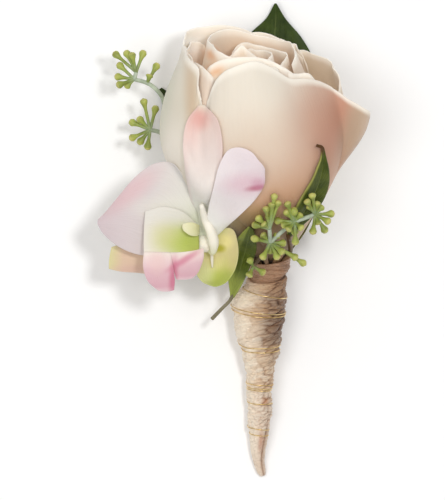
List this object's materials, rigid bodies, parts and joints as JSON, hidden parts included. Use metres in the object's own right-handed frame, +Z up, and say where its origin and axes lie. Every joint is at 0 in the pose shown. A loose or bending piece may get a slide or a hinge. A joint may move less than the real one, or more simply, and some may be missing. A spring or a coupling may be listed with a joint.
{
  "type": "boutonniere",
  "caption": "Buttonhole flower lying on its back: a blush rose, an orchid bloom, seeded eucalyptus and leaves, stems bound in satin ribbon with gold wire.",
  "frame": {"origin": "on the table, under the middle of the whole boutonniere as it lies on its back", "axes": "+Y from the ribbon's tail to the rose's head, +Z up, away from the table, +X to the rose's side, away from the orchid"},
  "size_m": [0.071, 0.1251, 0.0514],
  "materials": {
    "rose_petal": "soft matte petal, cream to blush",
    "rose_green": "matte green",
    "ribbon": "champagne satin",
    "wire": "bright gold",
    "leaf_dark": "waxy dark green",
    "leaf_bright": "waxy green",
    "orchid_petal": "matte white, pink and green",
    "orchid_lip": "matte white, green and pink",
    "eucalyptus": "matte yellow-green"
  },
  "bodies": {
    "root": {"rose_petals": "rose_petal", "rose_stem": "rose_green", "ribbon_wrap": "ribbon", "gold_wire": "wire", "leaf_top": "leaf_dark", "leaf_left": "leaf_dark", "leaf_right": "leaf_bright", "leaf_lower": "leaf_bright", "orchid_bloom": "orchid_petal", "orchid_lip": "orchid_lip", "eucalyptus_right": "eucalyptus", "eucalyptus_left": "eucalyptus"}
  },
  "joints": []
}
